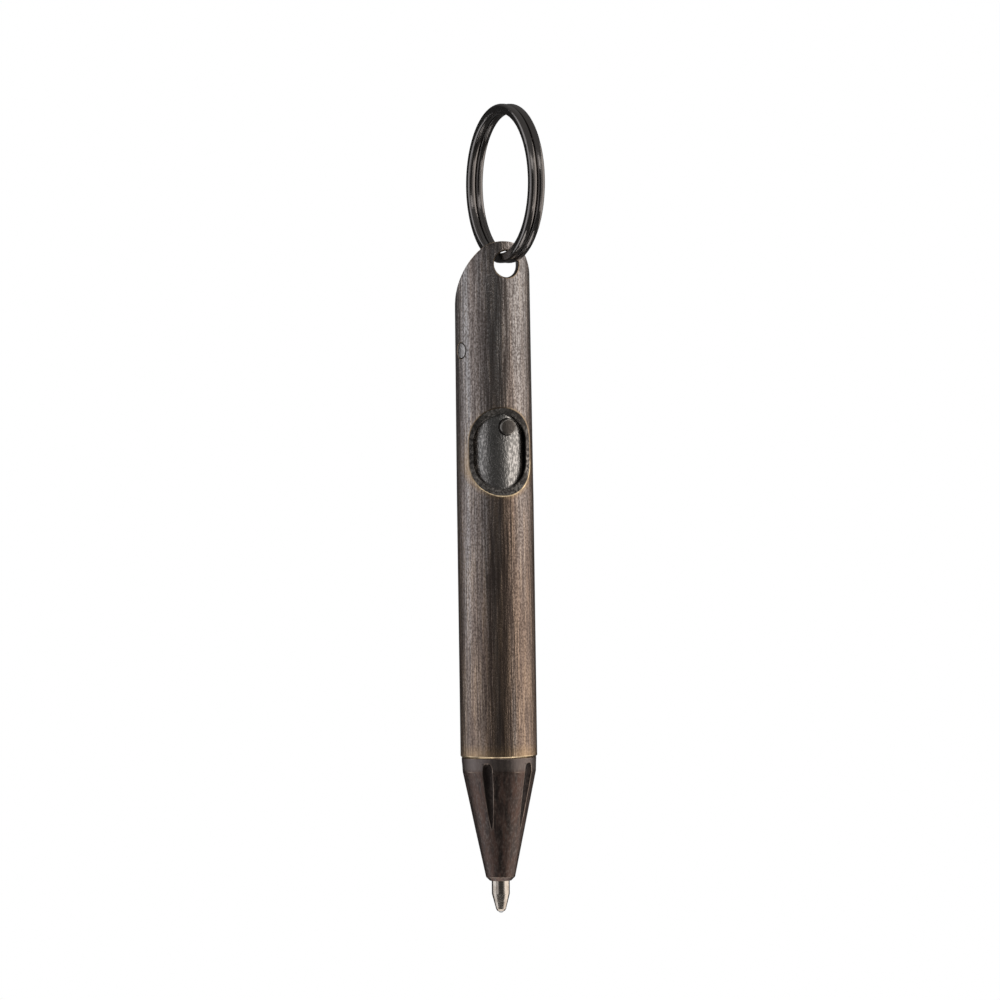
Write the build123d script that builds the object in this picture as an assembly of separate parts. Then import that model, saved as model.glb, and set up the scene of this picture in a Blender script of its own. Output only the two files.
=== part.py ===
from build123d import *
from math import cos, hypot, radians, sin, sqrt
import os

# A pocket ballpoint pen of machined brass. The pen's axis is Z and its tip points down. The origin is on the
# axis at the barrel's front rim. The thumb window faces -Y. The tail, the stud and the ring hole lie a few
# degrees round from there, towards +X.
# A core slides in the barrel, carries the refill and is pushed up by the return spring. A sprung stud on the
# core clicks out into the window's top edge and holds the point out. All sizes are in millimetres.

# ---- Barrel ----
barrel_r = 5.0
barrel_wall = 0.95
barrel_length = 67.0
grip_length = 33.5          # straight part of the outside, above the front rim
tail_taper = 0.14           # how much smaller the outside radius is at the top of the tongue
front_chamfer = 0.22
tail_drop = 12.3            # height of the slanted tail cut, from the tongue's top to the heel at the back
tongue_lip = 0.9            # how far the cut falls across the wall at the tongue's top
tail_angle = 5.0            # degrees that the tongue lies round from -Y, towards +X

# ---- Ring hole and split ring ----
ring_hole_r = 1.7
ring_hole_drop = 3.0        # from the tongue's top to the hole's centre
ring_hole_bevel = 0.12
ring_outer_r = 10.3
wire_radial = 1.3
wire_axial = 1.04
wire_edge = 0.42
turn_gap = 0.03
ring_slack = 0.08
step_start = 276.0          # where the wire crosses from one turn to the other
step_sweep = 24.0

# ---- Thumb window ----
window_middle = 39.7
window_length = 9.6
window_wrap = 88.0          # degrees of the barrel's outside that the opening spans
bevel_width = 0.95
bevel_depth = 0.5

# ---- Core ----
slide_clearance = 0.05
core_wall = 0.8
core_below_window = 10.0
core_travel = 5.3
cap_flange = 1.9
cap_dish_r = 9.0
cap_dish_depth = 0.55
cap_plug_below_refill = 1.6

# ---- Thumb stud and its leaf spring ----
stud_angle = 12.0           # degrees that the stud and the ring hole lie round from -Y, towards +X
stud_r = 1.08
stud_gap = 0.48             # from the stud to the window's top edge
stud_inset = 0.40           # how far the stud's end lies inside the barrel's outside
stud_chamfer = 0.12
stud_neck_r = 0.55
stud_press = 1.35
stud_hole_clearance = 0.05
ramp_clearance = 0.05
ramp_side = 0.08
leaf_width = 2.4
leaf_thickness = 0.2
leaf_clearance = 0.015
leaf_end_margin = 1.4
leaf_room = 0.3             # from the leaf to the flat on the cap's plug
leaf_root_above_core = 2.2
rivet_above_core = 3.6
rivet_r = 0.6
rivet_head = 0.35
rivet_head_height = 0.25
neck_below_leaf = 0.06

# ---- Cross pin ----
pin_r = 1.05
pin_below_cap = 1.6
pin_angle = 70.5            # degrees round from the window's direction, towards -X
pin_tip_clearance = 0.08
keyway_clearance = 0.06

# ---- Refill ----
refill_r = 1.175
refill_length = 67.0
refill_wall = 0.22
tip_projection = 4.2
tip_cylinder = 1.7          # straight part of the tip that shows below the nose
tip_cup_r = 0.6
tip_length = 7.3
tip_spigot = 4.0
ball_r = 0.4
ball_clearance = 0.015
ball_showing = 0.25
grip_ring_width = 1.0
grip_ring_depth = 0.6
bush_length = 2.0
refill_clearance = 0.05

# ---- Nose cone ----
collar_step = 0.13          # the collar's radius is smaller than the barrel's by this
collar_taper = 0.07
collar_length = 1.8
nose_length = 16.1
nose_end_r = 1.9
nose_round = 0.5
spigot_length = 7.0
spigot_clearance = 0.02
spring_seat_depth = 4.0
spring_bore_r = 2.55
tube_bore_r = 1.6
tip_bore_length = 5.0
flute_count = 5
flute_angle = 5.0           # degrees that the flutes lie round from evenly either side of -Y
flute_cutter_r = 1.0
flute_depth = 0.25
flute_length = 8.2
flute_top = 1.15            # from the barrel's rim down to the flute's deepest point
seal_width = 1.0
seal_depth = 0.6
seal_below_rim = 1.2

# ---- Return spring ----
spring_mean_r = 1.95
spring_wire_r = 0.2
spring_coils = 11

# ---- Sizes that follow from the ones above ----
tail_r = barrel_r - tail_taper
bore_r = barrel_r - barrel_wall
core_r = bore_r - slide_clearance
core_inner_r = core_r - core_wall
heel_z = barrel_length - tail_drop
window_bottom = window_middle - window_length / 2
window_top = window_middle + window_length / 2
window_half_width = barrel_r * sin(radians(window_wrap / 2))
ring_hole_z = barrel_length - ring_hole_drop
core_bottom = window_bottom - core_below_window
core_top = heel_z - 0.2
stud_z = window_top - stud_gap - stud_r
stud_end_r = barrel_r - stud_inset
press_ratio = stud_press / core_travel
leaf_top_r = sqrt(core_inner_r ** 2 - (leaf_width / 2) ** 2) - leaf_clearance
leaf_bottom_r = leaf_top_r - leaf_thickness
pin_z = core_top - pin_below_cap
keyway_floor_r = core_inner_r + pin_tip_clearance
collar_r = barrel_r - collar_step
collar_end_r = collar_r - collar_taper
tip_end_z = -(nose_length + tip_projection)
refill_top = tip_end_z + refill_length
tip_joint_z = tip_end_z + tip_length
spring_bottom = -spring_seat_depth

window_direction = Vector(0, -1, 0)
stud_side = Rot(0, 0, stud_angle)
tail_side = Rot(0, 0, tail_angle)
pin_direction = Vector(-sin(radians(pin_angle)), -cos(radians(pin_angle)), 0)


def rod(radius, low, high):
    """A cylinder on the pen's axis between two heights."""
    return Pos(0, 0, low) * Cylinder(radius, high - low, align=(Align.CENTER, Align.CENTER, Align.MIN))


def pipe(outer, inner, low, high):
    """A tube on the pen's axis between two heights."""
    return rod(outer, low, high) - rod(inner, low - 1, high + 1)


def radial_rod(radius, direction, z, near, far):
    """A cylinder that points away from the pen's axis, between two distances from it."""
    plane = Plane(origin=direction * near + Vector(0, 0, z), z_dir=direction)
    return plane * Cylinder(radius, far - near, align=(Align.CENTER, Align.CENTER, Align.MIN))


def turned(points):
    """A solid of revolution about the pen's axis, from (radius, height) corners."""
    return revolve(Plane.XZ * make_face(Polyline(*points, close=True)), Axis.Z)


def side_plate(outline, half_width):
    """A prism along X with a (y, z) outline."""
    return extrude(Plane.YZ * make_face(Polyline(*outline, close=True)), half_width, both=True)


def outside_radius(z):
    """The barrel's outside radius at a height: straight at the grip, then a slight taper."""
    share = max(0, z - grip_length) / (barrel_length - grip_length)
    return barrel_r + (tail_r - barrel_r) * share


def barrel_blank():
    """The barrel's outside as a solid bar."""
    return turned([
        (0, 0),
        (barrel_r, 0),
        (barrel_r, grip_length),
        (tail_r, barrel_length),
        (0, barrel_length),
    ])


def tail_cut():
    """The room above the slanted tail. The cut is steep at the tongue, then nearly straight down to the heel."""
    slope = tail_drop / (2 * tail_r)
    curve = Spline(
        (-tail_r - 0.8, barrel_length + 0.3),
        (-tail_r, barrel_length),
        (-bore_r, barrel_length - tongue_lip),
        (0, barrel_length - tail_drop / 2),
        (tail_r, heel_z),
        (tail_r + 1, heel_z - slope),
    )
    above = barrel_length + 5
    lid = Polyline(curve @ 1, (tail_r + 1, above), (-tail_r - 0.8, above), curve @ 0)
    return tail_side * extrude(Plane.YZ * make_face(curve + lid), barrel_r + 1, both=True)


def window_prism():
    """A stadium-shaped prism that opens the thumb window."""
    outline = SlotOverall(window_length, 2 * window_half_width, rotation=90)
    return extrude(Plane(origin=(0, -barrel_r - 2, window_middle), x_dir=(1, 0, 0), z_dir=(0, 1, 0)) * outline,
                   barrel_r + 2 - 1.0)


def stud_ramp():
    """The lead-in above the window that lets the stud sink as the core slides up."""
    edge = stud_end_r - press_ratio * (stud_gap + stud_chamfer) + ramp_clearance
    inside = core_inner_r + core_wall / 2
    foot = window_top - 0.5
    top = window_top + (edge - inside) / press_ratio
    cone = turned([(0, foot), (edge, foot), (edge, window_top), (inside, top), (0, top)])
    return stud_side * (cone & side_plate([(0, foot), (-barrel_r, foot), (-barrel_r, top), (0, top)],
                                          stud_r + ramp_side))


def on_outside(edge):
    """True where an edge lies on the barrel's outside."""
    points = [edge @ t for t in (0, 0.25, 0.5, 0.75, 1)]
    return all(abs(hypot(p.X, p.Y) - outside_radius(p.Z)) < 2e-3 for p in points)


def outside_edges(shape, low, high):
    """The edges on the barrel's outside that lie wholly between two heights."""
    found = [e for e in shape.edges() if on_outside(e)]
    return [e for e in found if e.bounding_box().min.Z > low and e.bounding_box().max.Z < high]


def make_barrel():
    shell = barrel_blank() - rod(bore_r, -1, barrel_length + 1)
    shell -= tail_cut()
    shell -= stud_side * radial_rod(ring_hole_r, window_direction, ring_hole_z, 0, barrel_r + 1)
    hole_edges = outside_edges(shell, ring_hole_z - ring_hole_r - 0.1, ring_hole_z + ring_hole_r + 0.1)
    shell = chamfer(hole_edges, ring_hole_bevel)
    shell -= window_prism()
    skin = max(shell.faces().filter_by(GeomType.CONE), key=lambda face: face.area)
    mouth = outside_edges(shell, window_bottom - 0.1, window_top + 0.1)
    shell = chamfer(mouth, bevel_width, bevel_depth, reference=skin)
    shell -= stud_ramp()
    shell -= radial_rod(pin_r, pin_direction, pin_z, 0, barrel_r + 1)
    rim = outside_edges(shell, -0.1, 0.1)
    return chamfer(rim, front_chamfer)


def make_cross_pin():
    """A pin set flush in the barrel. Its inner end keys the core against turning."""
    pin = radial_rod(pin_r, pin_direction, pin_z, keyway_floor_r, barrel_r + 1)
    return pin & barrel_blank()


def cone_radius(z):
    """The nose's outside radius at a height below its collar."""
    share = (-collar_length - z) / (nose_length - nose_round - collar_length)
    return collar_end_r + (nose_end_r - collar_end_r) * share


def flute_cutter(angle):
    """A round-ended bar that cuts one flute, deepest at its upper end, then running out along the cone."""
    high = Vector(collar_end_r - flute_depth, 0, -flute_top)
    low_z = high.Z - flute_length
    low = Vector(cone_radius(low_z), 0, low_z)
    along = (high - low).normalized()
    outward = Vector(along.Z, 0, -along.X)
    centre = high + outward * flute_cutter_r
    bar = Plane(origin=centre, z_dir=-along) * Cylinder(
        flute_cutter_r, (high - low).length + 6, align=(Align.CENTER, Align.CENTER, Align.MIN))
    return Rot(0, 0, angle) * (bar + Pos(*centre) * Sphere(flute_cutter_r))


def make_nose_cone():
    spigot_r = bore_r - spigot_clearance
    body = turned([
        (0, spigot_length),
        (spigot_r - 0.3, spigot_length),
        (spigot_r, spigot_length - 0.3),
        (spigot_r, 0),
        (collar_r, 0),
        (collar_end_r, -collar_length),
        (nose_end_r, -nose_length + nose_round),
        (nose_end_r - nose_round, -nose_length),
        (0, -nose_length),
    ])
    groove_top = spigot_length - seal_below_rim
    body -= pipe(bore_r + 1, spigot_r - seal_depth, groove_top - seal_width, groove_top)
    body -= rod(spring_bore_r, spring_bottom, spigot_length + 1)
    body -= rod(tube_bore_r, -nose_length + tip_bore_length, spring_bottom + 1)
    body -= rod(refill_r + refill_clearance, -nose_length - 1, 0)
    for i in range(flute_count):
        body -= flute_cutter(flute_angle - 90 + (i + 0.5) * 360 / flute_count)
    return body


def make_nose_seal():
    """A rubber ring in the spigot's groove, squeezed by the barrel's bore."""
    top = spigot_length - seal_below_rim
    inner = bore_r - spigot_clearance - seal_depth
    middle = (inner + bore_r) / 2
    profile = Pos(middle, top - seal_width / 2) * RectangleRounded(bore_r - inner, seal_width * 0.8, 0.25)
    return revolve(Plane.XZ * profile, Axis.Z)


def keyway():
    """A groove in the core's side, open at the top, with its floor where the core stops."""
    low = pin_z - core_travel - pin_r - keyway_clearance
    width = 2 * (pin_r + keyway_clearance)
    height = core_top + 1 - low
    slot = Pos((keyway_floor_r - pin_tip_clearance + core_r + 1) / 2, 0, low + height / 2) * Box(
        core_r + 1 - keyway_floor_r + pin_tip_clearance, width, height)
    return Rot(0, 0, -90 - pin_angle) * slot


def make_core_sleeve():
    sleeve = pipe(core_r, core_inner_r, core_bottom, core_top - cap_flange)
    sleeve -= stud_side * radial_rod(stud_r + stud_hole_clearance, window_direction, stud_z, 0, core_r + 1)
    sleeve -= stud_side * radial_rod(rivet_r, window_direction, core_bottom + rivet_above_core, 0, core_r + 1)
    return sleeve - keyway()


def make_core_cap():
    """The rear thumb pad: a plug in the sleeve, with a dished flange and a blind hole for the refill.

    A flat along the plug leaves room for the leaf spring's end.
    """
    plug_bottom = refill_top - cap_plug_below_refill
    plug_top = core_top - cap_flange
    cap = rod(core_inner_r, plug_bottom, plug_top)
    beyond = Pos(0, leaf_room - leaf_bottom_r - core_r, (plug_bottom + plug_top) / 2)
    cap -= stud_side * beyond * Box(2 * core_r, 2 * core_r, plug_top - plug_bottom)
    cap += rod(core_r, plug_top, core_top)
    cap -= Pos(0, 0, core_top + cap_dish_r - cap_dish_depth) * Sphere(cap_dish_r)
    cap -= rod(refill_r + refill_clearance, plug_bottom - 1, refill_top)
    return cap - keyway()


def make_refill_bush():
    """A bush in the core's front end. It guides the refill and seats the return spring."""
    bush = pipe(core_inner_r, refill_r + refill_clearance / 2, core_bottom, core_bottom + bush_length)
    middle = core_bottom + bush_length / 2
    return bush - pipe(refill_r + grip_ring_depth, 0.1, middle - grip_ring_width / 2, middle + grip_ring_width / 2)


def make_refill_grip_ring():
    """A rubber ring in the bush that grips the refill by friction."""
    middle = core_bottom + bush_length / 2
    profile = Pos(refill_r + grip_ring_depth / 2, middle) * RectangleRounded(
        grip_ring_depth, grip_ring_width * 0.8, 0.2)
    return revolve(Plane.XZ * profile, Axis.Z)


def make_latch_leaf():
    """A flat spring inside the core that pushes the stud outwards."""
    low = core_bottom + leaf_root_above_core
    high = stud_z + leaf_end_margin
    leaf = Pos(0, -(leaf_top_r + leaf_bottom_r) / 2, (low + high) / 2) * Box(leaf_width, leaf_thickness, high - low)
    leaf -= radial_rod(stud_neck_r, window_direction, stud_z, 0, core_r)
    leaf -= radial_rod(rivet_r, window_direction, core_bottom + rivet_above_core, 0, core_r)
    return stud_side * leaf


def make_latch_rivet():
    """The rivet that fixes the leaf to the core, flush outside and headed inside."""
    z = core_bottom + rivet_above_core
    shank = radial_rod(rivet_r, window_direction, z, leaf_bottom_r, core_r + 1) & rod(core_r, z - 1, z + 1)
    head = radial_rod(rivet_r + rivet_head, window_direction, z, leaf_bottom_r - rivet_head_height, leaf_bottom_r)
    return stud_side * (shank + head)


def make_thumb_stud():
    """The stud that shows in the window, with a neck riveted through the leaf."""
    head = radial_rod(stud_r, window_direction, stud_z, leaf_top_r, barrel_r) & rod(
        stud_end_r, stud_z - barrel_r, stud_z + barrel_r)
    head = chamfer(head.edges().sort_by(Axis.Y)[0], stud_chamfer)
    neck = radial_rod(stud_neck_r, window_direction, stud_z, leaf_bottom_r - neck_below_leaf, leaf_top_r)
    return stud_side * (head + neck)


def make_return_spring():
    """A round-wire coil between the nose's seat and the core's bush, with its ends ground flat."""
    height = core_bottom - spring_bottom
    path = Helix(height / spring_coils, height, spring_mean_r)
    start = Plane(origin=path @ 0, z_dir=path % 0)
    coil = sweep(start * Circle(spring_wire_r), path=path, is_frenet=True)
    coil = Pos(0, 0, spring_bottom) * coil
    return coil & rod(spring_mean_r + 1, spring_bottom, core_bottom)


def make_refill_tube():
    return pipe(refill_r, refill_r - refill_wall, tip_joint_z, refill_top)


def ball_z():
    """The height of the writing ball's centre."""
    return tip_end_z + ball_r


def make_refill_tip():
    """A turned tip: a spigot in the tube, a straight part, a cone and a cup that holds the ball."""
    cone_top = -nose_length - tip_cylinder
    cup_z = tip_end_z + ball_showing
    spigot_r = refill_r - refill_wall
    tip = turned([
        (0, tip_joint_z + tip_spigot),
        (spigot_r, tip_joint_z + tip_spigot),
        (spigot_r, tip_joint_z),
        (refill_r, tip_joint_z),
        (refill_r, cone_top),
        (tip_cup_r + 0.05, cup_z + 0.25),
        (tip_cup_r - 0.1, cup_z),
        (0, cup_z),
    ])
    tip -= Pos(0, 0, ball_z()) * Sphere(ball_r + ball_clearance)
    return tip - rod(0.25, ball_z(), tip_joint_z + tip_spigot + 1)


def make_writing_ball():
    return Pos(0, 0, ball_z()) * Sphere(ball_r)


def wire_section(angle, offset):
    """The wire's cross-section at an angle round the ring, shifted along the ring's axis."""
    middle_r = ring_outer_r - wire_radial / 2
    outward = Vector(0, cos(radians(angle)), sin(radians(angle)))
    centre = outward * middle_r + Vector(offset, 0, 0)
    along = Vector(0, -sin(radians(angle)), cos(radians(angle)))
    plane = Plane(origin=centre, x_dir=outward, z_dir=along)
    return plane * RectangleRounded(wire_radial, wire_axial, wire_edge)


def make_split_ring():
    """Two flat turns of one wire with a step between them, threaded through the ring hole."""
    pitch = wire_axial + turn_gap
    axis = Axis((0, 0, 0), (1, 0, 0))
    step_end = step_start + step_sweep
    turn = 360 - step_sweep
    first = revolve(wire_section(step_end, -pitch / 2), axis, turn)
    second = revolve(wire_section(step_end, pitch / 2), axis, turn)
    stations = 7
    sections = []
    for i in range(stations):
        share = i / (stations - 1)
        eased = share * share * (3 - 2 * share)
        sections.append(wire_section(step_start + step_sweep * share, pitch * (eased - 0.5)))
    step = loft(sections)
    ring = first + step + second
    half = pitch / 2 + wire_axial / 2
    reach = ring_hole_r - wire_edge - ring_slack
    seat = wire_edge + sqrt(reach ** 2 - (half - wire_edge) ** 2)
    inner_r = ring_outer_r - wire_radial
    middle = (outside_radius(ring_hole_z) + bore_r) / 2
    return stud_side * Pos(0, -middle, ring_hole_z + seat + inner_r) * ring


makers = {
    "barrel": make_barrel,
    "cross_pin": make_cross_pin,
    "nose_cone": make_nose_cone,
    "nose_seal": make_nose_seal,
    "return_spring": make_return_spring,
    "core_sleeve": make_core_sleeve,
    "core_cap": make_core_cap,
    "refill_bush": make_refill_bush,
    "refill_grip_ring": make_refill_grip_ring,
    "latch_leaf": make_latch_leaf,
    "latch_rivet": make_latch_rivet,
    "thumb_stud": make_thumb_stud,
    "refill_tube": make_refill_tube,
    "refill_tip": make_refill_tip,
    "writing_ball": make_writing_ball,
    "split_ring": make_split_ring,
}

os.makedirs("parts", exist_ok=True)
for name, make in makers.items():
    export_step(make(), os.path.join("parts", name + ".step"))
    print("wrote", name)
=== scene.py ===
"""A key-ring ballpoint pen in antiqued brass: finishes, worn edges, light and camera round its CAD frame."""

import logging
from dataclasses import dataclass, field
from enum import Enum
from math import cos, degrees, hypot, pi, radians, sin

import bmesh
import bpy
import numpy as np
from mathutils import Matrix, Quaternion, Vector


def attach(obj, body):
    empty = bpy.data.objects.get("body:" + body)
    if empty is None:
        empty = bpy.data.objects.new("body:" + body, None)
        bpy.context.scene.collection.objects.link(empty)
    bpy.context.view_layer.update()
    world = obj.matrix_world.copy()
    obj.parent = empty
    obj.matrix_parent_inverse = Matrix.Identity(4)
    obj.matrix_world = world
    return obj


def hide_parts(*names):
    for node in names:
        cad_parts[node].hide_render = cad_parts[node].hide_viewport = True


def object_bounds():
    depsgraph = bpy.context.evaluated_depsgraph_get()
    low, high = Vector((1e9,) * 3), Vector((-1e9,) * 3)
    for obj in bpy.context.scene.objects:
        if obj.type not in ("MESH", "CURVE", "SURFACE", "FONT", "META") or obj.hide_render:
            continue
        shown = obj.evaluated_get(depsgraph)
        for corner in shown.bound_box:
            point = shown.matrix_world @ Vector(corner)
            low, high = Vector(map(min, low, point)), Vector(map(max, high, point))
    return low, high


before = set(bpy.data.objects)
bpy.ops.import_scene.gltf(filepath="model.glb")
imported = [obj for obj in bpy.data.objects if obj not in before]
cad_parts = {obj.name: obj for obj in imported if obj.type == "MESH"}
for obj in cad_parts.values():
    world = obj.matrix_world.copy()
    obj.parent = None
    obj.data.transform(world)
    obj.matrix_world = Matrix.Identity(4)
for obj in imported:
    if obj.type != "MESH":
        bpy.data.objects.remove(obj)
cad_box = [list(corner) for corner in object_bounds()]

log = logging.getLogger("pen")
MM = 0.001


class Body(Enum):
    """The CAD bodies that pieces ride on."""

    BARREL = "barrel"
    CORE = "core"
    STUD = "stud"
    RING = "ring"


class Slot(Enum):
    """The record's material slots."""

    ANTIQUED_BRASS = "antiqued_brass"
    TURNED_BRASS = "turned_brass"
    BLACKENED_STEEL = "blackened_steel"
    GUNMETAL_STEEL = "gunmetal_steel"
    SPRING_STEEL = "spring_steel"
    NICKEL_SILVER = "nickel_silver"
    CARBIDE = "carbide"
    NITRILE_RUBBER = "nitrile_rubber"


class Skin(Enum):
    """Which of a piece's material slots a face uses."""

    MAIN = 0
    EDGE = 1
    RECESS = 2


def linear(colour: str) -> tuple[float, float, float, float]:
    """Turns an sRGB hex colour to linear light.

    Args:
        colour: Six hex digits after a hash sign.

    Returns:
        Red, green, blue and an alpha of one.
    """
    parts = [int(colour[i:i + 2], 16) / 255 for i in (1, 3, 5)]
    red, green, blue = (p / 12.92 if p <= 0.04045 else ((p + 0.055) / 1.055) ** 2.4 for p in parts)
    return red, green, blue, 1.0


def add(tree: bpy.types.NodeTree, kind: str, inputs: dict | None = None, **settings: object) -> bpy.types.Node:
    """Adds one node with its settings and links.

    Args:
        tree: The node tree.
        kind: The node's type, without the words ShaderNode.
        inputs: A value, a colour or another node's socket for each input, by name or number.
        settings: The node's own properties.

    Returns:
        The new node.
    """
    node = tree.nodes.new("ShaderNode" + kind)
    for name, value in settings.items():
        setattr(node, name, value)
    for key, value in (inputs or {}).items():
        if isinstance(value, bpy.types.NodeSocket):
            tree.links.new(value, node.inputs[key])
        else:
            node.inputs[key].default_value = value
    return node


@dataclass(frozen=True)
class Marks:
    """Marks left in a surface: how wide, how long and how many.

    Sizes are in millimetres. Low and high are the noise values between which a mark fades in.
    """

    width: float
    length: float
    low: float = 0.35
    high: float = 0.65
    detail: float = 3.0

    def draw(self, tree: bpy.types.NodeTree, place: bpy.types.NodeSocket) -> bpy.types.NodeSocket:
        """Draws the marks, with their length along the pen.

        Args:
            tree: The node tree.
            place: The position in millimetres.

        Returns:
            A socket from 0, no mark, to 1.
        """
        across = 1 / self.width
        spread = add(tree, "Mapping", {"Vector": place, "Scale": (across, across, 1 / self.length)})
        noise = add(tree, "TexNoise", {"Vector": spread.outputs[0], "Scale": 1.0, "Detail": self.detail})
        shown = add(tree, "MapRange", {"Value": noise.outputs[0], "From Min": self.low, "From Max": self.high})
        return shown.outputs[0]


@dataclass(frozen=True)
class Finish:
    """What every finish shares: a shader, and the position in millimetres."""

    name: str

    def start(self) -> tuple[bpy.types.Material, bpy.types.NodeTree, bpy.types.Node, bpy.types.NodeSocket]:
        """Makes the empty material.

        Returns:
            The material, its tree, its shader and the position in millimetres.
        """
        material = bpy.data.materials.new(self.name)
        material.use_nodes = True
        tree = material.node_tree
        shader = tree.nodes["Principled BSDF"]
        place = add(tree, "TexCoord").outputs["Object"]
        scaled = add(tree, "VectorMath", {0: place, "Scale": 1 / MM}, operation="SCALE")
        return material, tree, shader, scaled.outputs[0]


@dataclass(frozen=True)
class AntiquedTube(Finish):
    """Brass tube, blackened in a bath and rubbed back lengthwise with fine abrasive paper.

    The patina stays brown-grey with long faint rubbing lines, and brass shows where hands and edges wear it.
    """

    grey: str = "#c6c1bf"
    brown: str = "#b39c8d"
    dark: str = "#4a3f39"
    brass: str = "#b89a76"
    smooth: float = 0.28
    dull: float = 0.42
    relief: float = 0.03
    tone: Marks = Marks(1.6, 45.0, 0.3, 0.7)
    rubbing: Marks = Marks(0.28, 7.0, 0.36, 0.68)
    # The grit is 0.06 mm and is drawn at 0.2 mm, so that it shows.
    grit: Marks = Marks(0.2, 0.3, 0.38, 0.62, 2.0)
    # Heights between which the tube turns from grey to brown, and how far each end leans.
    grey_above: float = 62.0
    brown_below: float = 12.0
    grey_lean: float = -0.35
    brown_lean: float = 0.45
    line_darkness: float = 0.62
    grit_darkness: float = 0.68
    most_brass: float = 0.62
    rim_wear: float = 1.9
    held_below: float = 42.0
    held_wear: float = 0.2
    window_middle: float = 39.7
    window_half_length: float = 4.8
    window_half_width: float = 3.47
    bevel: float = 0.8
    halo: float = 0.8
    upper_halo: float = 0.25
    upper_halo_above: float = 41.7
    full_halo_below: float = 36.7
    unworn_patch: float = -0.3
    worn_patch: float = 0.25

    def window_distance(self, tree: bpy.types.NodeTree, axes: bpy.types.Node) -> bpy.types.NodeSocket:
        """Measures how far a point lies outside the thumb window, seen square on.

        Args:
            tree: The node tree.
            axes: The position, separated.

        Returns:
            The distance in millimetres.
        """
        middle = add(tree, "Math", {0: axes.outputs[2], 1: self.window_middle}, operation="SUBTRACT")
        height = add(tree, "Math", {0: middle.outputs[0]}, operation="ABSOLUTE")
        straight = self.window_half_length - self.window_half_width
        past = add(tree, "Math", {0: height.outputs[0], 1: straight}, operation="SUBTRACT")
        above = add(tree, "Math", {0: past.outputs[0], 1: 0.0}, operation="MAXIMUM")
        flat = add(tree, "CombineXYZ", {0: axes.outputs[0], 1: above.outputs[0]})
        reach = add(tree, "VectorMath", {0: flat.outputs[0]}, operation="LENGTH")
        return add(tree, "Math", {0: reach.outputs["Value"], 1: self.window_half_width},
                   operation="SUBTRACT").outputs[0]

    def make(self) -> bpy.types.Material:
        """Builds the material."""
        material, tree, shader, place = self.start()
        axes = add(tree, "SeparateXYZ", {0: place})
        tone = self.tone.draw(tree, place)
        rubbing = self.rubbing.draw(tree, place)
        grit = self.grit.draw(tree, place)
        lean = add(tree, "MapRange", {"Value": axes.outputs[2],
                                      "From Min": self.grey_above, "From Max": self.brown_below,
                                      "To Min": self.grey_lean, "To Max": self.brown_lean})
        browned = add(tree, "Math", {0: tone, 1: lean.outputs[0]}, operation="ADD", use_clamp=True)
        base = add(tree, "Mix", {0: browned.outputs[0], 6: linear(self.grey), 7: linear(self.brown)},
                   data_type="RGBA")
        lined = add(tree, "MapRange", {"Value": rubbing, "To Min": self.line_darkness, "To Max": 0.0})
        streaked = add(tree, "Mix", {0: lined.outputs[0], 6: base.outputs[2], 7: linear(self.dark)},
                       data_type="RGBA")
        speckle = add(tree, "MapRange", {"Value": grit, "To Min": self.grit_darkness, "To Max": 0.0})
        sanded = add(tree, "Mix", {0: speckle.outputs[0], 6: streaked.outputs[2], 7: linear(self.dark)},
                     data_type="RGBA")
        rim = add(tree, "MapRange", {"Value": axes.outputs[2], "From Min": 0.0, "From Max": self.rim_wear,
                                     "To Min": 1.0, "To Max": 0.0})
        below = add(tree, "MapRange", {"Value": axes.outputs[2],
                                       "From Min": self.upper_halo_above, "From Max": self.full_halo_below,
                                       "To Min": self.upper_halo, "To Max": 1.0})
        outside = self.window_distance(tree, axes)
        near = add(tree, "MapRange", {"Value": outside, "From Min": self.bevel,
                                      "From Max": self.bevel + self.halo, "To Min": 1.0, "To Max": 0.0})
        front = add(tree, "Math", {0: axes.outputs[1], 1: 0.0}, operation="LESS_THAN")
        halo = add(tree, "Math", {0: near.outputs[0], 1: below.outputs[0]}, operation="MULTIPLY")
        facing = add(tree, "Math", {0: halo.outputs[0], 1: front.outputs[0]}, operation="MULTIPLY")
        held = add(tree, "MapRange", {"Value": axes.outputs[2], "From Min": self.held_below, "From Max": 0.0,
                                      "To Min": 0.0, "To Max": self.held_wear})
        touched = add(tree, "Math", {0: rim.outputs[0], 1: facing.outputs[0]}, operation="MAXIMUM")
        worn = add(tree, "Math", {0: touched.outputs[0], 1: held.outputs[0]}, operation="ADD")
        patchy = add(tree, "MapRange", {"Value": rubbing, "To Min": self.unworn_patch, "To Max": self.worn_patch})
        patches = add(tree, "Math", {0: worn.outputs[0], 1: patchy.outputs[0]}, operation="ADD",
                      use_clamp=True)
        shown = add(tree, "Math", {0: patches.outputs[0], 1: self.most_brass}, operation="MULTIPLY")
        colour = add(tree, "Mix", {0: shown.outputs[0], 6: sanded.outputs[2], 7: linear(self.brass)},
                     data_type="RGBA")
        tree.links.new(colour.outputs[2], shader.inputs["Base Color"])
        sheen = add(tree, "MapRange", {"Value": grit, "To Min": self.dull, "To Max": self.smooth})
        tree.links.new(sheen.outputs[0], shader.inputs["Roughness"])
        relief = add(tree, "Math", {0: rubbing, 1: grit, 2: rubbing}, operation="MULTIPLY_ADD")
        bump = add(tree, "Bump", {"Height": relief.outputs[0], "Strength": 0.5, "Distance": self.relief * MM})
        tree.links.new(bump.outputs[0], shader.inputs["Normal"])
        shader.inputs["Metallic"].default_value = 1.0
        return material


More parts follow.
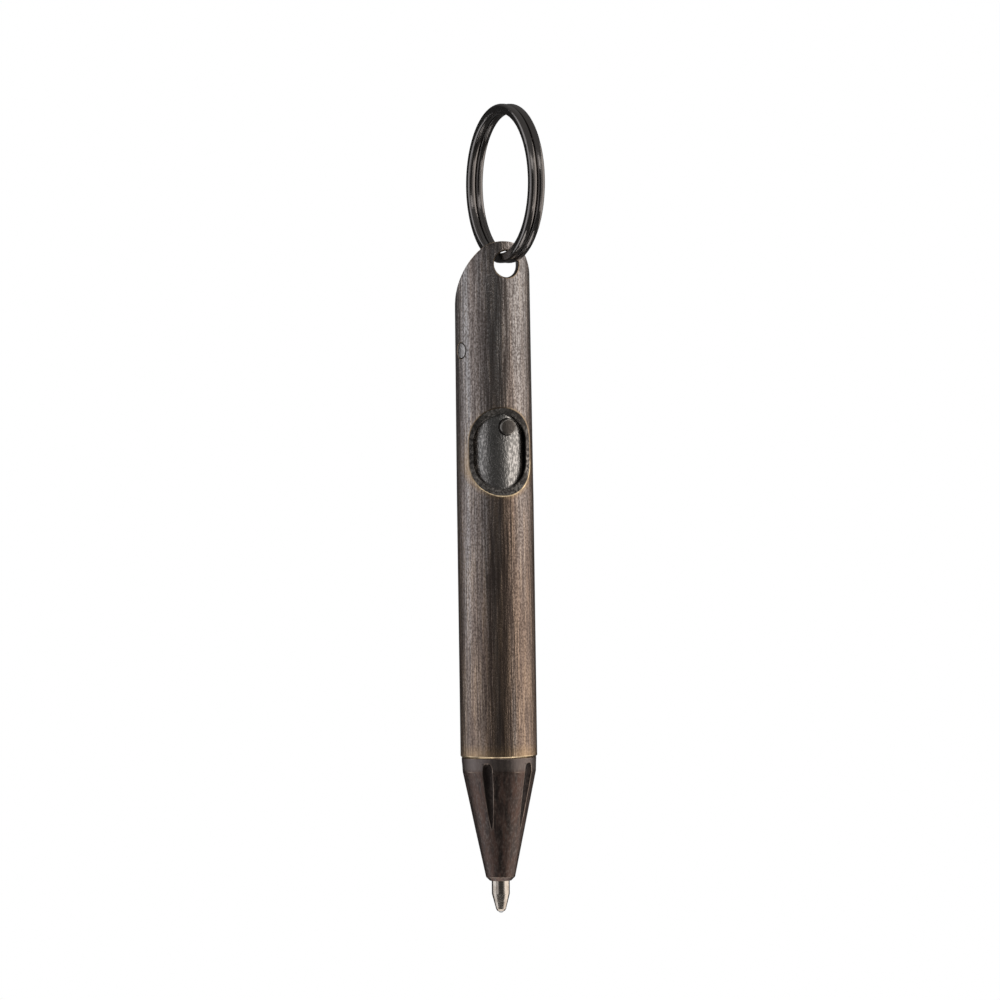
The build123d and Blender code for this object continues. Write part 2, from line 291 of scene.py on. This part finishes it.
@dataclass(frozen=True)
class AntiquedCone(Finish):
    """Turned brass, blackened deeper than the tube and left unrubbed.

    It stays dark, brown in the light, with a greyer collar, faint lengthwise streaks and small pale nicks.
    """

    dark: str = "#4b4340"
    warm: str = "#66524a"
    collar: str = "#746b67"
    nick: str = "#857a73"
    nick_strength: float = 0.45
    smooth: float = 0.36
    dull: float = 0.5
    relief: float = 0.015
    tone: Marks = Marks(0.5, 30.0, 0.35, 0.66, 2.0)
    spots: Marks = Marks(0.2, 0.5, 0.48, 0.68, 2.0)
    collar_bottom: float = -1.8

    def make(self) -> bpy.types.Material:
        """Builds the material."""
        material, tree, shader, place = self.start()
        axes = add(tree, "SeparateXYZ", {0: place})
        tone = self.tone.draw(tree, place)
        spots = self.spots.draw(tree, place)
        band = add(tree, "MapRange", {"Value": axes.outputs[2], "From Min": self.collar_bottom - 0.1,
                                      "From Max": self.collar_bottom + 0.5, "To Min": 0.0, "To Max": 0.8})
        base = add(tree, "Mix", {0: tone, 6: linear(self.dark), 7: linear(self.warm)}, data_type="RGBA")
        collared = add(tree, "Mix", {0: band.outputs[0], 6: base.outputs[2], 7: linear(self.collar)},
                       data_type="RGBA")
        some = add(tree, "Math", {0: spots, 1: self.nick_strength}, operation="MULTIPLY")
        colour = add(tree, "Mix", {0: some.outputs[0], 6: collared.outputs[2], 7: linear(self.nick)},
                     data_type="RGBA")
        tree.links.new(colour.outputs[2], shader.inputs["Base Color"])
        sheen = add(tree, "MapRange", {"Value": tone, "To Min": self.smooth, "To Max": self.dull})
        tree.links.new(sheen.outputs[0], shader.inputs["Roughness"])
        bump = add(tree, "Bump", {"Height": spots, "Strength": 0.25, "Distance": self.relief * MM})
        tree.links.new(bump.outputs[0], shader.inputs["Normal"])
        shader.inputs["Metallic"].default_value = 1.0
        return material


@dataclass(frozen=True)
class RubbedEdge(Finish):
    """Brass edge where the patina has rubbed off; the step from bright below the given height to dim above is
    painted light.
    """

    bright: str = "#f3d9b0"
    dim: str = "#8d7b69"
    bright_below: float = 36.5
    fades_over: float = 2.5
    painted_shade_share: float = 0.2
    missed: float = 0.15
    roughness: float = 0.28
    patches: Marks = Marks(1.1, 1.3, 0.35, 0.6)

    def make(self) -> bpy.types.Material:
        """Builds the material."""
        material, tree, shader, place = self.start()
        axes = add(tree, "SeparateXYZ", {0: place})
        patches = self.patches.draw(tree, place)
        # Painted highlight below the given height, fading to a dimmer painted shade above it; the rubbed brass
        # colour itself is wear.
        level = add(tree, "MapRange", {"Value": axes.outputs[2], "From Min": self.bright_below,
                                       "From Max": self.bright_below + self.fades_over,
                                       "To Min": 1.0, "To Max": self.painted_shade_share})
        broken = add(tree, "MapRange", {"Value": patches, "To Min": self.missed, "To Max": 1.0})
        shown = add(tree, "Math", {0: level.outputs[0], 1: broken.outputs[0]}, operation="MULTIPLY")
        colour = add(tree, "Mix", {0: shown.outputs[0], 6: linear(self.dim), 7: linear(self.bright)},
                     data_type="RGBA")
        tree.links.new(colour.outputs[2], shader.inputs["Base Color"])
        shader.inputs["Metallic"].default_value = 1.0
        shader.inputs["Roughness"].default_value = self.roughness
        return material


@dataclass(frozen=True)
class ScuffedMetal(Finish):
    """Metal with a dark chemical coating that has scuffed through to lighter metal in spots.

    The coating gives an even dark grey, and the spots give a broken, mottled sparkle.
    """

    coat: str = "#4b4845"
    scuffed: str = "#a09a94"
    amount: float = 0.6
    roughness: float = 0.4
    spots: Marks = Marks(0.3, 0.42, 0.42, 0.62, 2.0)
    # Spots come in patches of about 2 mm.
    patches: Marks = Marks(2.0, 2.4, 0.3, 0.62)
    relief: float = 0.02
    coat_dullness: float = 0.06
    scuff_shine: float = 0.08

    def make(self) -> bpy.types.Material:
        """Builds the material."""
        material, tree, shader, place = self.start()
        spots = self.spots.draw(tree, place)
        patches = self.patches.draw(tree, place)
        both = add(tree, "Math", {0: spots, 1: patches}, operation="MULTIPLY")
        shown = add(tree, "Math", {0: both.outputs[0], 1: self.amount}, operation="MULTIPLY")
        colour = add(tree, "Mix", {0: shown.outputs[0], 6: linear(self.coat), 7: linear(self.scuffed)},
                     data_type="RGBA")
        tree.links.new(colour.outputs[2], shader.inputs["Base Color"])
        dull = add(tree, "MapRange", {"Value": spots, "To Min": self.roughness + self.coat_dullness,
                                      "To Max": self.roughness - self.scuff_shine})
        tree.links.new(dull.outputs[0], shader.inputs["Roughness"])
        bump = add(tree, "Bump", {"Height": spots, "Strength": 0.5, "Distance": self.relief * MM})
        tree.links.new(bump.outputs[0], shader.inputs["Normal"])
        shader.inputs["Metallic"].default_value = 1.0
        return material


@dataclass(frozen=True)
class TurnedMetal(Finish):
    """Metal turned in a lathe: a clean colour with fine rings round the pen's axis."""

    light: str = "#d8cfc4"
    shade: str = "#b5a99c"
    roughness: float = 0.16
    ring_dullness: float = 0.1
    relief: float = 0.01
    # The feed marks are 0.03 mm apart and are drawn 0.15 mm apart, so that they show.
    rings: Marks = Marks(6.0, 0.15, 0.3, 0.7, 1.0)
    stains: Marks = Marks(0.8, 1.2, 0.45, 0.7)

    def make(self) -> bpy.types.Material:
        """Builds the material."""
        material, tree, shader, place = self.start()
        rings = self.rings.draw(tree, place)
        stains = self.stains.draw(tree, place)
        colour = add(tree, "Mix", {0: stains, 6: linear(self.light), 7: linear(self.shade)}, data_type="RGBA")
        tree.links.new(colour.outputs[2], shader.inputs["Base Color"])
        dull = add(tree, "MapRange", {"Value": rings, "To Min": self.roughness,
                                      "To Max": self.roughness + self.ring_dullness})
        tree.links.new(dull.outputs[0], shader.inputs["Roughness"])
        bump = add(tree, "Bump", {"Height": rings, "Strength": 0.15, "Distance": self.relief * MM})
        tree.links.new(bump.outputs[0], shader.inputs["Normal"])
        shader.inputs["Metallic"].default_value = 1.0
        return material


@dataclass(frozen=True)
class MouldedRubber(Finish):
    """Black nitrile rubber, moulded: soft dark sheen with a fine dusty bloom."""

    black: str = "#1b1b1c"
    bloom: str = "#34322f"
    smooth: float = 0.5
    dull: float = 0.7
    dust: Marks = Marks(0.25, 0.25, 0.4, 0.7)

    def make(self) -> bpy.types.Material:
        """Builds the material."""
        material, tree, shader, place = self.start()
        dust = self.dust.draw(tree, place)
        colour = add(tree, "Mix", {0: dust, 6: linear(self.black), 7: linear(self.bloom)}, data_type="RGBA")
        tree.links.new(colour.outputs[2], shader.inputs["Base Color"])
        sheen = add(tree, "MapRange", {"Value": dust, "To Min": self.smooth, "To Max": self.dull})
        tree.links.new(sheen.outputs[0], shader.inputs["Roughness"])
        return material


@dataclass
class EdgedPiece:
    """A machined piece whose sharp edges are broken by a narrow band with its own finish.

    It starts as a merged copy of its CAD node. The band is cut along every edge where the node's faces meet at
    more than the given angle.
    """

    node: str
    body: Body
    slot: Slot
    skin: Finish
    edge: Finish
    recess: Finish
    edge_width: float = 0.05
    sharp_angle: float = 9.0
    merge_distance: float = 0.0005

    def sort_face(self, centre: Vector, normal: Vector, skin: Skin) -> Skin:
        """Says which finish a face gets. A piece with more than two finishes overrides this."""
        return skin

    def copy_node(self) -> bpy.types.Object:
        """Copies the CAD node in millimetres, and keeps its smooth normals on the faces' corners."""
        piece = bpy.data.objects.new(self.node + "_machined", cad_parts[self.node].data.copy())
        bpy.context.scene.collection.objects.link(piece)
        mesh = piece.data
        normals = np.empty(len(mesh.loops) * 3, np.float32)
        mesh.corner_normals.foreach_get("vector", normals)
        mesh.attributes.new("smooth_normal", "FLOAT_VECTOR", "CORNER").data.foreach_set("vector", normals)
        mesh.transform(Matrix.Scale(1 / MM, 4))
        mesh.materials.clear()
        for finish in (self.skin, self.edge, self.recess):
            mesh.materials.append(finish.make())
        return piece

    def select_sharp(self, mesh: bpy.types.Mesh) -> None:
        """Selects the edges where two faces meet at an angle.

        Args:
            mesh: The mesh, in edit mode with nothing selected.
        """
        cage = bmesh.from_edit_mesh(mesh)
        kept = cage.loops.layers.float_vector["smooth_normal"]
        for edge in cage.edges:
            for corner in edge.verts:
                one, other = (next(Vector(loop[kept]) for loop in face.loops if loop.vert == corner)
                              for face in edge.link_faces)
                if degrees(one.angle(other, 0.0)) > self.sharp_angle:
                    edge.select_set(True)
        bmesh.update_edit_mesh(mesh)

    def break_edges(self, piece: bpy.types.Object) -> None:
        """Merges the mesh and bevels its sharp edges with the edge finish.

        Args:
            piece: The copy, in millimetres.
        """
        bpy.ops.object.select_all(action="DESELECT")
        bpy.context.view_layer.objects.active = piece
        piece.select_set(True)
        bpy.ops.mesh.customdata_custom_splitnormals_clear()
        bpy.ops.object.mode_set(mode="EDIT")
        bpy.ops.mesh.select_all(action="SELECT")
        bpy.ops.mesh.remove_doubles(threshold=self.merge_distance)
        bpy.ops.mesh.select_mode(type="EDGE")
        bpy.ops.mesh.select_all(action="DESELECT")
        self.select_sharp(piece.data)
        bpy.ops.mesh.bevel(offset=self.edge_width, segments=2, affect="EDGES", material=Skin.EDGE.value,
                           clamp_overlap=False)
        bpy.ops.object.mode_set(mode="OBJECT")

    def restore_normals(self, mesh: bpy.types.Mesh) -> None:
        """Gives the faces the CAD's smooth normals, and the bevels their own.

        Args:
            mesh: The bevelled mesh.
        """
        kept = mesh.attributes["smooth_normal"].data
        normals = [Vector(item.vector).normalized() for item in kept]
        for face in mesh.polygons:
            face.use_smooth = True
            if face.material_index == Skin.EDGE.value:
                for corner in face.loop_indices:
                    normals[corner] = face.normal
        mesh.normals_split_custom_set(normals)
        mesh.attributes.remove(mesh.attributes["smooth_normal"])

    def build(self) -> bpy.types.Object:
        """Builds the piece, dresses it and lets it stand for its CAD node."""
        piece = self.copy_node()
        self.break_edges(piece)
        self.restore_normals(piece.data)
        for face in piece.data.polygons:
            face.material_index = self.sort_face(face.center, face.normal, Skin(face.material_index)).value
        piece.data.transform(Matrix.Scale(MM, 4))
        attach(piece, self.body.value)
        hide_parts(self.node)
        log.info("%s: %d faces", piece.name, len(piece.data.polygons))
        return piece


@dataclass
class Barrel(EdgedPiece):
    """The tube with its thumb window, slanted tail, ring hole and front rim. Sizes in millimetres."""

    radius: float = 5.0
    bore: float = 4.05
    rim_height: float = 0.26
    window_middle: float = 39.7
    window_reach: float = 6.6
    bevel_slope: float = 0.975
    tail_from: float = 53.0
    skin_depth: float = 0.2
    wall_middle: float = 0.5
    turned_out: float = 0.5

    def sort_face(self, centre: Vector, normal: Vector, skin: Skin) -> Skin:
        """Puts the edge finish on the rim, and the recess finish in the bore and on the window's bevel."""
        reach = hypot(centre.x, centre.y)
        outward = (normal.x * centre.x + normal.y * centre.y) / max(reach, 1e-9)
        if centre.z < self.rim_height and reach > self.bore + self.wall_middle:
            return Skin.EDGE
        if skin is Skin.EDGE and reach < self.radius - self.skin_depth:
            return Skin.RECESS
        if skin is Skin.EDGE:
            return skin
        if outward < self.turned_out and reach < self.radius - self.skin_depth:
            return Skin.RECESS if centre.z < self.tail_from or outward < -self.turned_out else Skin.MAIN
        near_window = abs(centre.z - self.window_middle) < self.window_reach and centre.y < 0
        if near_window and outward < self.bevel_slope:
            return Skin.RECESS
        return skin


@dataclass
class NoseCone(EdgedPiece):
    """The fluted cone and its collar. Sizes in millimetres."""

    collar_radius: float = 4.8
    collar_bottom: float = -1.8
    end_radius: float = 1.9
    end_height: float = -15.6
    flute_margin: float = 0.06
    flute_turn: float = 0.12
    flute_deepest: float = 0.4
    flutes_above: float = -14.6

    def sort_face(self, centre: Vector, normal: Vector, skin: Skin) -> Skin:
        """Puts the recess finish, darkened as painted shade, in the flutes, which lie inside the cone's surface
        or turn aside from it.
        """
        share = max(0.0, (centre.z - self.collar_bottom) / (self.end_height - self.collar_bottom))
        surface = self.collar_radius + (self.end_radius - self.collar_radius) * share
        reach = hypot(centre.x, centre.y)
        depth = surface - reach
        aside = abs(normal.y * centre.x - normal.x * centre.y) / max(reach, 1e-9)
        fluted = depth > self.flute_margin or (depth > 0 and aside > self.flute_turn)
        if skin is Skin.MAIN and fluted and depth < self.flute_deepest and self.flutes_above < centre.z < 0:
            return Skin.RECESS
        return skin


@dataclass(frozen=True)
class NodeFinish:
    """A CAD node that keeps its own mesh, and the finish it gets."""

    node: str
    finish: Finish

    def dress(self) -> None:
        """Puts the finish in the node's material slots."""
        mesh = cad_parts[self.node].data
        mesh.materials.clear()
        mesh.materials.append(self.finish.make())
        log.info("%s: %s", self.node, self.finish.name)


@dataclass(frozen=True)
class Softbox:
    """A large soft light that stands upright beside the pen.

    The azimuth is in degrees round from the camera, to the right. Sizes are in metres, and radiance is the
    brightness of its face, where 1 is white.
    """

    name: str
    azimuth: float
    width: float
    height: float
    radiance: float
    colour: str
    distance: float = 0.45
    lift: float = 0.0

    def build(self, camera_azimuth: float, middle: Vector) -> None:
        """Adds the light.

        Args:
            camera_azimuth: The camera's azimuth in degrees.
            middle: The point the light faces.
        """
        turn = radians(camera_azimuth + self.azimuth)
        away = Vector((sin(turn), -cos(turn), self.lift)).normalized()
        lamp = bpy.data.lights.new(self.name, "AREA")
        lamp.shape = "RECTANGLE"
        lamp.size, lamp.size_y = self.width, self.height
        lamp.energy = self.radiance * pi * self.width * self.height
        lamp.color = linear(self.colour)[:3]
        light = bpy.data.objects.new(self.name, lamp)
        light.location = middle + away * self.distance
        light.rotation_euler = away.to_track_quat("Z", "Y").to_euler()
        bpy.context.scene.collection.objects.link(light)


@dataclass
class Studio:
    """The white surroundings, the soft lights and the camera. Lengths in metres, angles in degrees."""

    azimuth: float = -12.5
    elevation: float = 0.5
    distance: float = 0.7
    view_width: float = 0.1302
    roll: float = -0.82
    aim_height: float = 0.03346
    aim_right: float = 0.00062
    floor_drop: float = 0.06
    floor_radius: float = 0.06
    level: float = 0.045
    from_below: float = 0.07
    from_above: float = 0.16
    # Slopes between which the glow from below and from above comes in.
    below_slopes: tuple[float, float] = (-0.2, -0.6)
    above_slopes: tuple[float, float] = (0.2, 0.7)
    lights: list[Softbox] = field(default_factory=lambda: [
        Softbox("softbox_right", 88, 0.62, 0.7, 1.3, "#fffaf5"),
        Softbox("softbox_left", -88, 0.42, 0.7, 1.05, "#f5f9ff"),
        Softbox("fill_left", -44, 0.22, 0.6, 0.5, "#fbfbff"),
        Softbox("fill_right", 46, 0.14, 0.6, 0.34, "#fffdfa"),
        Softbox("softbox_front_top", 10, 0.4, 0.14, 1.2, "#ffffff", lift=0.6),
    ])

    def right(self) -> Vector:
        """The camera's right, along the floor."""
        turn = radians(self.azimuth)
        return Vector((cos(turn), sin(turn), 0))

    def build_camera(self) -> None:
        """Adds a long-lens camera level with the pen's middle."""
        target = Vector((0, 0, self.aim_height)) + self.right() * self.aim_right
        turn, rise = radians(self.azimuth), radians(self.elevation)
        away = Vector((sin(turn) * cos(rise), -cos(turn) * cos(rise), sin(rise)))
        lens = bpy.data.cameras.new("camera")
        lens.sensor_width = 36.0
        lens.lens = lens.sensor_width * self.distance / self.view_width
        lens.clip_start = 0.01
        camera = bpy.data.objects.new("camera", lens)
        camera.location = target + away * self.distance
        spin = Quaternion((0, 0, 1), radians(self.roll))
        camera.rotation_euler = (away.to_track_quat("Z", "Y") @ spin).to_euler()
        bpy.context.scene.collection.objects.link(camera)
        bpy.context.scene.camera = camera

    def build_surroundings(self) -> None:
        """Adds a white backdrop for the camera.

        To the pen, the same surroundings are dim at its own height and brighter towards floor and ceiling.
        """
        world = bpy.data.worlds.new("studio")
        bpy.context.scene.world = world
        world.use_nodes = True
        tree = world.node_tree
        seen = add(tree, "LightPath").outputs["Is Camera Ray"]
        way = add(tree, "SeparateXYZ", {0: add(tree, "TexCoord").outputs["Generated"]})
        below = add(tree, "MapRange", {"Value": way.outputs[2],
                                       "From Min": self.below_slopes[0], "From Max": self.below_slopes[1],
                                       "To Min": self.level, "To Max": self.from_below})
        above = add(tree, "MapRange", {"Value": way.outputs[2],
                                       "From Min": self.above_slopes[0], "From Max": self.above_slopes[1],
                                       "To Min": 0.0, "To Max": self.from_above})
        glow = add(tree, "Math", {0: below.outputs[0], 1: above.outputs[0]}, operation="ADD")
        strength = add(tree, "Math", {0: seen, 1: glow.outputs[0]}, operation="MAXIMUM")
        tree.links.new(strength.outputs[0], tree.nodes["Background"].inputs["Strength"])
        tree.nodes["Background"].inputs["Color"].default_value = linear("#ffffff")
        bpy.context.scene.view_settings.view_transform = "Standard"

    def build_floor(self) -> None:
        """Adds a round white light table under the pen."""
        top = cad_box[0][2] - self.floor_drop
        bpy.ops.object.select_all(action="DESELECT")
        bpy.ops.mesh.primitive_circle_add(vertices=96, radius=self.floor_radius, fill_type="NGON",
                                          location=(0, 0, top))
        floor = bpy.context.object
        floor.name = "light_table"
        floor.data.materials.append(LightTable("opal_acrylic_light_table").make())

    def build(self) -> None:
        """Builds the whole studio."""
        self.build_camera()
        self.build_surroundings()
        self.build_floor()
        middle = Vector((0, 0, self.aim_height))
        for light in self.lights:
            light.build(self.azimuth, middle)
        log.info("studio: %d lights", len(self.lights))


@dataclass(frozen=True)
class LightTable(Finish):
    """Opal acrylic lit from below: an even white glow."""

    glow: float = 1.0
    unevenness: float = 0.02
    haze: Marks = Marks(60.0, 60.0, 0.2, 0.8)

    def make(self) -> bpy.types.Material:
        """Builds the material."""
        material, tree, shader, place = self.start()
        haze = self.haze.draw(tree, place)
        level = add(tree, "MapRange", {"Value": haze, "To Min": self.glow,
                                       "To Max": self.glow * (1 + self.unevenness)})
        tree.links.new(level.outputs[0], shader.inputs["Emission Strength"])
        shader.inputs["Emission Color"].default_value = linear("#ffffff")
        shader.inputs["Base Color"].default_value = linear("#f4f4f2")
        shader.inputs["Roughness"].default_value = 0.5
        return material


def pen_pieces() -> list[EdgedPiece]:
    """Lists the machined pieces whose edges show.

    Returns:
        The pieces, from the barrel inwards.
    """
    patina = AntiquedTube("antiqued_brass_rubbed")
    bevel = ScuffedMetal("antiqued_brass_filed_bevel", "#514d4a", "#b8b1aa", 0.75, 0.42)
    cone = AntiquedCone("antiqued_brass_cone")
    # The flutes get a darker colour than the cone: painted shade in the hollows.
    flute_shade = ScuffedMetal("antiqued_brass_flute_painted_shade", "#2e2826", "#4d443f", 0.4, 0.5)
    steel = ScuffedMetal("blackened_steel_scuffed", "#8a8784", "#e4dfda", 0.6, 0.3,
                         Marks(0.22, 0.45, 0.45, 0.6, 2.0), Marks(2.0, 6.0, 0.2, 0.5))
    dark = ScuffedMetal("blackened_steel_shade", "#5a5551", "#7d756e", 0.3, 0.42)
    return [
        # The barrel's rubbed brass edges get a painted highlight on the rim and lower window edge, and painted
        # shade above.
        Barrel("barrel", Body.BARREL, Slot.ANTIQUED_BRASS, patina, RubbedEdge("brass_rubbed_edge_painted_highlight"), bevel,
               0.085),
        NoseCone("nose_cone", Body.BARREL, Slot.ANTIQUED_BRASS, cone,
                 RubbedEdge("antiqued_brass_cone_edge", "#8f8075", "#5a4a42", 0.0), flute_shade, 0.055),
        EdgedPiece("cross_pin", Body.BARREL, Slot.BLACKENED_STEEL,
                   ScuffedMetal("blackened_steel_pin_end", "#9b9592", "#c9c4c0", 0.5, 0.32),
                   RubbedEdge("blackened_steel_pin_edge", "#3a3532", "#1f1c1a", 60.0), dark, 0.12),
        EdgedPiece("core_sleeve", Body.CORE, Slot.BLACKENED_STEEL, steel,
                   RubbedEdge("core_sleeve_edge", "#8a857f", "#4d4946", 60.0), dark, 0.04),
        EdgedPiece("core_cap", Body.CORE, Slot.ANTIQUED_BRASS, cone,
                   RubbedEdge("core_cap_edge", "#b09468", "#6b5a4c", 60.0), cone, 0.07),
        EdgedPiece("thumb_stud", Body.STUD, Slot.BLACKENED_STEEL, dark,
                   RubbedEdge("thumb_stud_edge", "#b7b1aa", "#6a6560", 60.0), dark, 0.05),
    ]


def plain_finishes() -> list[NodeFinish]:
    """Lists the CAD nodes that keep their own mesh.

    Returns:
        The nodes with their finishes.
    """
    rubber = MouldedRubber("nitrile_rubber_moulded")
    return [
        NodeFinish("split_ring", ScuffedMetal("black_nickel_plated_wire", "#7b7673", "#a09b97", 0.25, 0.13,
                                              Marks(0.5, 0.7, 0.5, 0.75), relief=0.008)),
        NodeFinish("refill_tip", TurnedMetal("nickel_silver_turned", "#cfc4b8", "#a99b8d")),
        NodeFinish("writing_ball", TurnedMetal("tungsten_carbide_lapped", "#a7a8aa", "#8d8e91", 0.06)),
        NodeFinish("refill_tube", TurnedMetal("brass_drawn_tube", "#d3ad6f", "#a98652", 0.22)),
        NodeFinish("refill_bush", TurnedMetal("brass_turned_bush", "#cfa968", "#a5814c", 0.2)),
        NodeFinish("refill_grip_ring", rubber),
        NodeFinish("nose_seal", rubber),
        NodeFinish("return_spring", TurnedMetal("spring_wire_drawn", "#a9a8a6", "#85827f", 0.25)),
        NodeFinish("latch_leaf", TurnedMetal("spring_leaf_rolled", "#8f8d8a", "#6f6c68", 0.28)),
        NodeFinish("latch_rivet", ScuffedMetal("blackened_steel_rivet", "#403d3b", "#7b7670", 0.4, 0.4)),
    ]


def main() -> None:
    """Builds every piece in order, then the studio."""
    logging.basicConfig(level=logging.INFO, format="%(name)s: %(message)s")
    for piece in pen_pieces():
        piece.build()
    for item in plain_finishes():
        item.dress()
    Studio().build()


if __name__ == "__main__":
    main()
